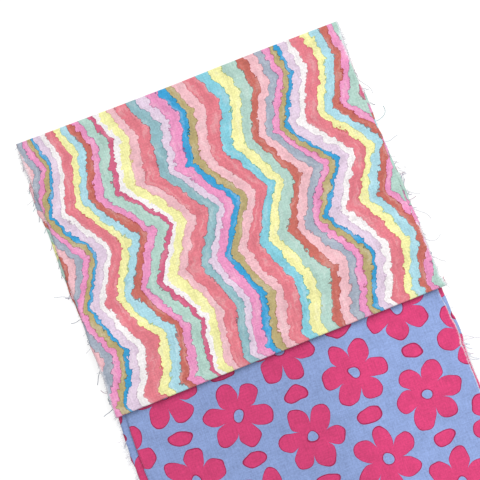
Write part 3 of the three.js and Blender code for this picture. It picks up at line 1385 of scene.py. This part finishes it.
@dataclass(frozen=True)
class FrayedEdge:
    """The Geometry Nodes tree that grows yarns from lines along raw edges."""

    patch_scale: float = 55.0
    patch_edge: tuple[float, float] = (0.5, 0.62)  # the unevenness at which a patch starts and is full
    barest: float = 0.04  # growth below which nothing grows
    floor: float = 0.1 * MM
    strays: Limits = ((-1, -1, -0.4), (1, 1, 0.45))  # the ways that yarns may turn out of line
    bows: Limits = ((-1, -1, -0.45), (1, 1, 0.6))  # and the ways that they may bend
    bending: float = 2.0  # how late along the yarn it bends
    sides: int = 3

    def tree(self) -> GeometryNodeTree:
        """Builds the tree.

        The lines carry the attributes outward, the way that a yarn leaves the cloth, tint, its
        darkest shade, and growth, how long it may be.

        Returns:
            The node group.
        """
        graph = group("Frayed edge", Kind.GEOMETRY, {
            "Edges": (Socket.GEOMETRY, None),
            **sizes(HAIRS, *YARN_SIZES),
            **sizes(self, "Floor"),
            "Joints": (Socket.INTEGER, HAIRS.joints),
            "Seed": (Socket.INTEGER, 1),
            "Yarn": (Socket.MATERIAL, None),
        }, {"Threads": Socket.GEOMETRY})
        given = graph.given
        lines = graph.run("GeometryNodeMeshToCurve", {"Mesh": given["Edges"]}, "Curve")
        spaced = {"Curve": lines, "Length": given["Spacing"]}
        roots = graph.run("GeometryNodeResampleCurve", spaced, "Curve", mode="LENGTH")
        spots = graph.run("GeometryNodeCurveToPoints", {"Curve": roots}, "Points", mode="EVALUATED")
        metre = graph.run("GeometryNodeCurvePrimitiveLine", {"Start": (0, 0, 0), "End": (0, 0, 1)}, "Curve")
        jointed = {"Curve": metre, "Count": given["Joints"]}
        length = self._length(graph)
        outward = graph.vector("NORMALIZE", graph.named("FLOAT_VECTOR", "outward"))
        sway = graph.scaled(self._random(graph, self.strays, 1), given["Stray"])
        way = {"Vector": graph.vector("ADD", outward, sway)}
        strands = graph.run("GeometryNodeInstanceOnPoints", {
            "Points": spots,
            "Selection": graph.math("GREATER_THAN", graph.named("FLOAT", "growth"), self.barest),
            "Instance": graph.run("GeometryNodeResampleCurve", jointed, "Curve", mode="COUNT"),
            "Rotation": graph.run("FunctionNodeAlignRotationToVector", way, "Rotation", axis="Z"),
            "Scale": length,
        }, "Instances")
        bend = graph.scaled(self._random(graph, self.bows, 2), length * given["Curl"])
        lighter = self._random(graph, (0.0, 1.0), 3) * given["Spread"]
        tint = graph.named("FLOAT", "tint") + lighter
        for name, kind, value in (("bend", "FLOAT_VECTOR", bend), ("tint", "FLOAT", tint)):
            stored = {"Geometry": strands, "Name": name, "Value": value}
            strands = graph.run(
                "GeometryNodeStoreNamedAttribute", stored, "Geometry", data_type=kind, domain="INSTANCE"
            )
        loose = graph.run("GeometryNodeRealizeInstances", {"Geometry": strands}, "Geometry")
        return graph.give(Threads=spun(graph, self._bent(graph, loose), self.sides))

    def _length(self, graph: Graph) -> Term:
        """The length of each yarn: mostly short, and shorter still between the patches.

        Args:
            graph: The tree being built.

        Returns:
            The length.
        """
        given = graph.given
        most = (given["Longest"] - given["Shortest"]) * graph.named("FLOAT", "growth")
        extra = self._random(graph, (0.0, 1.0)) ** given["Scarcity"] * most
        place = graph.run("GeometryNodeInputPosition", {}, "Position")
        uneven = graph.noise(place, self.patch_scale, 1.0, dimensions="3D")
        kept = 1.0 - graph.ramp(uneven, *self.patch_edge, 1.0, 0.0) * given["Patches"]
        return given["Shortest"] + extra * kept

    def _random(self, graph: Graph, limits: Limits | tuple[float, float], extra: int = 0) -> Term:
        """A random value for each point.

        Args:
            graph: The tree being built.
            limits: The lowest and the highest value, both numbers or both vectors.
            extra: Added to the seed, so that values are independent.

        Returns:
            The value.
        """
        kind, first = ("FLOAT_VECTOR", 0) if isinstance(limits[0], tuple) else ("FLOAT", 2)
        inputs = {first: limits[0], first + 1: limits[1], "Seed": graph.given["Seed"] + float(extra)}
        return graph.run("FunctionNodeRandomValue", inputs, first // 2, data_type=kind)

    def _bent(self, graph: Graph, strands: Term) -> Term:
        """Bends the strands and keeps them off the table.

        Args:
            graph: The tree being built.
            strands: The realized straight strands.

        Returns:
            The bent strands.
        """
        progress = graph.run("GeometryNodeSplineParameter", {}, "Factor")
        shift = graph.scaled(graph.named("FLOAT_VECTOR", "bend"), progress**self.bending)
        bent = graph.run("GeometryNodeSetPosition", {"Geometry": strands, "Offset": shift}, "Geometry")
        x, y, z = graph.split(graph.run("GeometryNodeInputPosition", {}, "Position"))
        above = graph.joined(x, y, graph.math("MAXIMUM", z, graph.given["Floor"]))
        return graph.run("GeometryNodeSetPosition", {"Geometry": bent, "Position": above}, "Geometry")


@dataclass(frozen=True)
class LooseThread:
    """One of the longer yarns that hang out of a raw edge."""

    at: float  # place along the cloth, counted as an edge mark's is
    side: int  # -1 at the left edge and 1 at the right one
    length: float  # in millimetres
    heading: float  # in degrees from straight out, towards the far fold
    turn: float  # degrees that it curls by over its length
    shade: float  # 0 to 1 along the yarn's tints

    step: float = 0.2 * MM
    crimp: float = 0.8 * MM  # from crossing to crossing of the weave that it came out of
    crimp_depth: float = 0.045 * MM
    held: float = 0.8 * MM  # how much of it is still in the cloth
    fall: float = 4.5 * MM  # how far out it comes down to the table
    fall_share: float = 0.7  # or the share of its length by which a short one does
    floor: float = 0.2 * MM
    sway: float = 9.0  # degrees that it wanders either way
    swings: float = 1.3  # in its length
    apart: float = 0.37  # of a swing from thread to thread, a tenth of a mark along
    swaying: float = 3.0  # how soon, along its length, it sways in full
    curling: float = 1.3  # how late it curls
    coil_rise: float = 0.35  # in millimetres, for each time that it lies on itself

    def path(self, cut: FoldedCut) -> np.ndarray:
        """The thread's middle line, from inside the cloth to its tip.

        Args:
            cut: The cut that it hangs out of, already built.

        Returns:
            The points.
        """
        root = cut.edge_point(self.at, self.side)
        reach = self.length * MM
        along = np.arange(0.0, reach, self.step)
        share = along / reach
        sway = self.sway * np.sin(2 * math.pi * (self.swings * share + self.apart * self.at * 10))
        swayed = sway * np.minimum(share * self.swaying, 1)
        angle = np.radians(self.heading + self.turn * share**self.curling + swayed)
        out = np.cumsum(np.cos(angle)) * self.step - self.held
        on = np.cumsum(np.sin(angle)) * self.step
        wave = self.crimp_depth * np.sin(2 * math.pi * along / self.crimp)
        out, on = out - wave * np.sin(angle), on + wave * np.cos(angle)
        straight, onward = cut.direction(self.side, 0.0), cut.direction(self.side, 1.0)
        onward = onward - straight
        coils = abs(self.turn) / 360 * self.coil_rise * MM * share
        drop = smooth((along - self.held) / min(self.fall, self.fall_share * reach))
        height = self.floor + (root.z - self.floor) * (1 - drop) + coils
        return np.stack([
            root.x + out * straight.x + on * onward.x,
            root.y + out * straight.y + on * onward.y,
            height,
        ], axis=1)


@dataclass(frozen=True)
class LongYarn:
    """The Geometry Nodes tree that gives the longer threads their thickness."""

    thickness: float = 0.38 * MM
    sides: int = 5

    def tree(self) -> GeometryNodeTree:
        """Builds the tree.

        Returns:
            The node group, whose lines carry the attribute tint.
        """
        graph = group("Loose thread", Kind.GEOMETRY, {
            "Lines": (Socket.GEOMETRY, None),
            **sizes(self, "Thickness"),
            "Yarn": (Socket.MATERIAL, None),
        }, {"Threads": Socket.GEOMETRY})
        curves = graph.run("GeometryNodeMeshToCurve", {"Mesh": graph.given["Lines"]}, "Curve")
        return graph.give(Threads=spun(graph, curves, self.sides))


def hang_loose_threads(cut: FoldedCut, tree: GeometryNodeTree, yarn: Material) -> None:
    """Makes the longer threads of a cut as a piece of their own.

    Args:
        cut: The cut, already built.
        tree: The tree of LongYarn.
        yarn: Their material.
    """
    lines = YarnLines()
    for thread in cut.loose_threads:
        lines.add(thread.path(cut), thread.shade)
    name = f"{cut.name}_loose_threads"
    cut.pieces.append(grown(name, lines.mesh(name), tree, {"Yarn": yarn}))


# Studio -------------------------------------------------------------------------------------


@dataclass(frozen=True)
class Studio:
    """A white table under soft light, with the camera almost straight above it."""

    azimuth: float = -21.36
    elevation: float = 87.7
    distance: float = 0.4722
    lens: float = 52.5
    sensor: float = 36
    clip_start: float = 0.01
    aim: tuple[float, float] = (2.15 * MM, 78.2 * MM)  # from the middle of the upper cut's near edge
    table_half: float = 3.0
    table_grey: float = 0.25
    table_roughness: float = 0.9
    table_glow: float = 0.71
    surround: float = 0.75
    lamp_size: float = 2.4
    lamp_power: float = 118
    lamp_place: tuple[float, float, float] = (1.2, 1.35, 2.85)

    def table(self) -> Object:
        """Lays the table top.

        Returns:
            The table top.
        """
        mesh = bpy.data.meshes.new("table_top")
        corners = [(x * self.table_half, y * self.table_half, 0) for x, y in SQUARE]
        mesh.from_pydata(corners, [], [(0, 1, 2, 3)])
        material, _ = shaded("white_table", {
            "Base Color": (self.table_grey, self.table_grey, self.table_grey, 1),
            "Roughness": self.table_roughness,
            "Specular IOR Level": 0.0,
            "Emission Color": WHITE,
            "Emission Strength": self.table_glow,
        })
        mesh.materials.append(material)
        top = add_object("table_top", mesh)
        return top

    def light(self) -> None:
        """A bright white surround and one broad lamp from the upper right."""
        world = bpy.data.worlds.new("soft_room")
        world.use_nodes = True
        background = world.node_tree.nodes["Background"]
        background.inputs["Color"].default_value = WHITE
        background.inputs["Strength"].default_value = self.surround
        bpy.context.scene.world = world
        lamp = bpy.data.lights.new("broad_lamp", "AREA")
        lamp.shape = "DISK"
        lamp.size = self.lamp_size
        lamp.energy = self.lamp_power
        holder = add_object("broad_lamp", lamp)
        holder.location = self.lamp_place
        holder.rotation_euler = (-holder.location).to_track_quat("-Z", "Y").to_euler()

    def camera(self, near_edge: Vector) -> None:
        """Places the camera.

        Args:
            near_edge: The middle of the upper cut's near edge, on the table.
        """
        around, up = math.radians(self.azimuth), math.radians(self.elevation)
        flat = math.cos(up)
        back = Vector((math.sin(around) * flat, -math.cos(around) * flat, math.sin(up)))
        data = bpy.data.cameras.new("camera")
        data.lens = self.lens
        data.sensor_width = self.sensor
        data.clip_start = self.clip_start
        holder = add_object("camera", data)
        holder.location = near_edge + Vector((*self.aim, 0)) + back * self.distance
        holder.rotation_euler = (math.pi / 2 - up, 0, around)
        bpy.context.scene.camera = holder
        bpy.context.scene.view_settings.view_transform = "Standard"


# The bundle ---------------------------------------------------------------------------------

LOWER_TURN = math.radians(-0.8)  # about the upper cut's near edge, under which the lower cut is tucked
UPPER_TINTS = tuple(ink(*mix) for mix in (
    (196, 78, 112), (84, 98, 128), (104, 122, 156), (126, 134, 152), (146, 136, 168), (150, 186, 192),
    (184, 156, 174), (196, 202, 214), (214, 208, 216), (232, 234, 240),
))
LOWER_TINTS = tuple(ink(*mix) for mix in (
    (200, 60, 112), (132, 148, 196), (150, 166, 208), (176, 150, 190), (216, 130, 168), (176, 190, 222),
    (206, 184, 208), (206, 212, 230), (222, 220, 232), (234, 236, 244),
))
# Both cottons are painted a little darker towards the left raw edge: painted shade for a fall-off of light.
FLAME_COTTON = PrintedCotton("flame_cotton", Design.FLAME, painted_shade_depth=0.02)
DAISY_COTTON = PrintedCotton("daisy_cotton", Design.DAISY, painted_shade_depth=0.14, painted_shade_span=(0.0, 62 * MM))


def lower_cut() -> FoldedCut:
    """The cut that is tucked under the other.

    Returns:
        The cut, not yet built.
    """
    return FoldedCut(
        name="lower_folded_cut",
        node="lower_cut",
        slot="lower_cloth",
        cotton=DAISY_COTTON,
        yarn=LooseYarn("lower_loose_yarn", LOWER_TINTS),
        turn=LOWER_TURN,
        seed=41,
        edge_marks=rows(
            EdgeMark,
            (0.0, -2.6, -1.8), (0.5, -2.2, -1.9), (1.0, 0.4, 0.9), (1.19, 1.5, 1.8, 3.2, 0.6),
            (1.25, 1.9, 2.3, 3.4, 0.6), (1.28, 2.3, 2.5, 3.8, 0.6), (1.30, 2.6, 3.3, 3.8, 0.6),
            (1.335, 2.5, 3.5, 3.6, 0.6), (1.36, 3.1, 3.5, 3.6, 0.6), (1.40, 2.2, 2.5, 3.6, 1.4),
            (1.46, 1.9, 2.0, 3.2, 1.4), (1.56, 2.0, 2.2, 2.4, 1.0), (2.0, 1.4, 1.6, 0.8, 0.6),
            (2.2, -3.0, -1.0), (2.4, -4.8, -1.6), (2.85, -4.8, -2.6), (3.0, -4.0, -2.6, 0.3, 0.8),
            (3.2, -3.8, -1.5, 0.3, 1.0), (3.27, -3.4, -0.3, 0.3, 1.1), (3.33, -3.0, 1.0, 0.3, 1.35),
            (3.37, -3.1, 1.0, 0.3, 1.35), (3.388, -3.2, 0.0, 0.3, 2.2), (3.41, -3.3, 0.4, 0.3, 1.15),
            (3.46, -3.4, 0.2, 0.3, 1.1), (4.0, -0.6, 0.0, 0.3, 0.8), (4.5, -1.3, -0.6, 2.6, 0.6),
            (5.0, -0.4, 0.0, 2.6, 0.6), (5.5, -1.6, -0.9, 3.2, 0.6), (6.0, -1.2, -0.4),
        ),
        fold_marks=rows(
            FoldMark,
            (-1.0, 0.3, 0.0), (-0.2, -0.2, 0.0), (1.0, 0.4, 0.0),
        ),
        creases=rows(
            Crease,
            (-40, 95, 62, 55, 9, 0.35), (52, 70, 100, 60, 11, -0.3),
        ),
        # Painted highlight on the right raw edge, which faces the lamp; the left one is kept dark as in
        # shade.
        pallor_from_wear_and_light=(0.1, 0.85),
        hairiness=(0.35, 0.4),
        loose_threads=rows(
            LooseThread,
            (1.29, -1, 6.5, -50, 0, 0.75), (1.30, -1, 6.0, -60, 10, 0.85),
            (1.370, 1, 14.0, -26, 0, 0.85), (1.39, 1, 6.0, -35, 0, 0.55),
            (1.380, 1, 9.0, -24, 20, 0.85), (1.404, 1, 7.0, -45, 10, 0.75),
            (1.418, 1, 5.0, -50, 0, 0.75), (3.40, 1, 5.5, -20, 30, 0.65), (1.42, 1, 6.0, -35, 0, 0.65),
            (1.432, 1, 10.0, -35, -5, 0.75), (1.445, 1, 8.0, -30, 6, 0.75),
            (1.70, 1, 6.0, 24, 60, 0.25), (3.72, -1, 9.0, -66, 15, 0.65),
        ),
    )


def upper_cut(under: FoldedCut) -> FoldedCut:
    """The cut that lies on top.

    Args:
        under: The lower cut.

    Returns:
        The cut, not yet built.
    """
    return FoldedCut(
        name="upper_folded_cut",
        node="upper_cut",
        slot="upper_cloth",
        cotton=FLAME_COTTON,
        yarn=LooseYarn("upper_loose_yarn", UPPER_TINTS),
        turn=0.0,
        seed=7,
        edge_marks=rows(
            EdgeMark,
            (0.0, -1.4, -1.3), (0.5, -1.6, -1.5), (1.0, -0.2, 0.8), (1.13, 0.3, 0.6), (1.15, 2.9, 0.6),
            (1.20, 2.8, 0.9), (1.235, 2.9, 1.4), (1.252, 3.5, 2.4), (1.272, 2.0, 3.0), (1.33, 1.4, 2.7),
            (1.40, 1.8, 1.8), (1.43, 1.9, 2.5), (1.48, 2.5, 2.5), (1.51, 2.0, 2.6), (1.56, 2.5, 2.8),
            (1.60, 1.9, 3.8), (1.65, 1.7, 3.8), (1.68, 1.6, 3.0), (1.76, 0.9, 2.7), (1.80, 0.6, 1.6),
            (2.0, -0.3, 0.2), (2.5, -0.6, -0.3), (3.0, 0.0, 1.9, 0.6, 1.0), (3.025, 0.1, 2.3, 1.2, 1.4),
            (3.05, 0.4, 1.7, 2.4, 2.4), (3.08, 1.0, 1.5, 2.8, 3.0), (3.11, 0.5, 1.3, 2.6, 2.4),
            (3.14, 0.3, 0.9, 1.6, 1.2), (3.18, 0.4, 0.6, 0.8, 0.8), (3.235, -0.1, 0.9),
            (3.262, -0.3, 2.1, 0.3, 1.8), (3.285, -0.3, 1.0, 0.3, 0.6), (3.35, 0.0, 0.7),
            (3.42, 0.6, 0.8), (3.5, 0.8, 1.1), (3.58, 0.8, 1.0), (3.66, 0.9, 1.2), (3.74, 0.7, 1.4),
            (3.79, 0.1, 1.9, 0.8, 1.8), (3.85, 0.1, 1.8, 2.2, 1.6), (3.90, 1.0, 1.8, 2.2, 1.2),
            (3.94, 1.5, 1.8, 1.6, 1.4), (3.965, 1.6, 1.1, 1.2, 1.2), (3.985, 1.6, 2.6, 1.2, 1.8),
            (4.0, 1.6, 3.2, 1.2, 1.8), (4.03, 0.2, 0.4), (4.5, -1.0, -0.6), (5.0, -0.6, -0.4),
            (5.5, -1.7, -1.5), (6.0, -1.2, -1.6),
        ),
        fold_marks=rows(
            FoldMark,
            (-1.0, 1.4, 0.95), (-0.75, 1.1, 0.62), (-0.4, 0.65, 0.15), (0.0, 0.42, 0.02),
            (0.25, 0.0, 0.4), (0.65, -0.1, 0.55), (1.0, -0.42, 0.35),
        ),
        creases=rows(
            Crease,
            (-30, 120, 80, 60, 12, 0.25), (60, 90, 95, 70, 10, -0.2),
        ),
        pallor_from_wear_and_light=(1.0, 1.0),
        hairiness=(1.0, 0.6),
        loose_threads=rows(
            LooseThread,
            (3.078, -1, 3.5, -15, -30, 0.45), (1.158, -1, 4.2, -50, 10, 0.55),
            (1.195, -1, 4.6, -45, 5, 0.55), (1.228, -1, 4.8, -20, 0, 0.55),
            (1.262, -1, 4.4, -52, 10, 0.35), (1.302, -1, 4.2, -35, 5, 0.55),
            (1.362, -1, 5.2, -45, 10, 0.65), (1.430, -1, 4.6, -55, 10, 0.45),
            (1.472, -1, 4.2, -55, 10, 0.35), (1.555, -1, 4.4, -35, 0, 0.45),
            (1.562, -1, 5.5, -10, 60, 0.45), (1.568, -1, 13.0, 18, 8, 0.75),
            (1.652, -1, 9.0, -8, 14, 0.35), (3.725, -1, 6.0, -30, 330, 0.15),
            (1.735, -1, 4.5, -40, 40, 0.15), (1.810, -1, 15.5, -62, 8, 0.15),
            (3.905, -1, 9.5, -58, 150, 0.65), (3.925, -1, 8.0, -20, -110, 0.55),
            (3.938, -1, 6.0, -30, 200, 0.15), (3.955, -1, 5.5, -35, 280, 0.15),
            (1.963, -1, 13.5, -24, 3, 0.15), (3.190, 1, 4.5, 10, 120, 0.65),
            (3.184, 1, 3.6, -35, 10, 0.65), (3.204, 1, 3.4, -20, 0, 0.75),
            (1.200, 1, 18.0, -38, -52, 0.95), (3.256, 1, 5.5, 4, -20, 0.75),
            (1.310, 1, 5.5, -26, 0, 0.35), (1.377, 1, 15.5, -6, 104, 0.55),
            (3.430, 1, 4.5, -10, 320, 0.35), (1.464, 1, 11.5, 2, 16, 0.75),
            (1.547, 1, 4.0, -20, 80, 0.45), (1.532, 1, 5.5, -35, 20, 0.85),
            (1.554, 1, 5.0, -20, -30, 0.85), (1.605, 1, 4.5, 55, 20, 0.55),
            (1.624, 1, 5.5, 40, 30, 0.55), (1.636, 1, 6.5, 62, -10, 0.65),
            (1.655, 1, 4.5, -30, 30, 0.45), (1.688, 1, 7.0, 4, 5, 0.65), (1.702, 1, 5.0, -35, 30, 0.85),
            (1.713, 1, 4.5, 30, -60, 0.75), (1.738, 1, 4.5, -45, 40, 0.85),
            (1.752, 1, 4.0, 20, 60, 0.65), (1.768, 1, 4.0, -40, -20, 0.75),
            (1.792, 1, 8.0, -60, 20, 0.85), (1.818, 1, 4.0, -20, 50, 0.85),
            (1.568, 1, 8.0, -26, -10, 0.95), (1.585, 1, 5.5, 24, -40, 0.65),
            (1.597, 1, 6.5, 46, -70, 0.45), (1.612, 1, 7.0, 62, -20, 0.45),
            (1.625, 1, 13.5, 56, 4, 0.95), (3.630, 1, 8.5, 60, 8, 0.75), (1.645, 1, 11.0, -30, 6, 0.95),
            (1.663, 1, 5.0, -20, 220, 0.35), (1.722, 1, 15.5, -14, -68, 0.95),
            (3.735, 1, 9.5, 56, 10, 0.95), (3.785, 1, 22.0, -88, 135, 0.95),
            (1.880, 1, 14.5, -42, 4, 0.95), (3.885, 1, 5.0, -30, 260, 0.25),
            (3.985, 1, 5.0, -7, 63, 0.05),
        ),
        lies_on=under,
    )


def main() -> None:
    """Builds the bundle and its studio."""
    logging.basicConfig(level=logging.INFO, format="%(name)s: %(message)s")
    prints = {Design.FLAME: FlamePrint().group(), Design.DAISY: DaisyPrint().group()}
    weave = PlainWeave().group()
    edge_tree, thread_tree = FrayedEdge().tree(), LongYarn().tree()

    lower = lower_cut()
    upper = upper_cut(lower)
    for cut in (lower, upper):
        cut.build()
        cut.dress(prints[cut.cotton.design], weave)
        yarn = cut.yarn.material()
        for fraying in (HAIRS, FUZZ):
            fraying.fray(cut, edge_tree, yarn)
        hang_loose_threads(cut, thread_tree, yarn)
        for piece in cut.pieces:
            log.info("%s: %d faces", piece.name, len(piece.data.polygons))
    lower.declare([])
    upper.declare([lower.name])

    low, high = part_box("upper_cut")
    studio = Studio()
    studio.table()
    studio.light()
    studio.camera(Vector(((low.x + high.x) / 2, low.y, 0)))


if __name__ == "__main__":
    main()
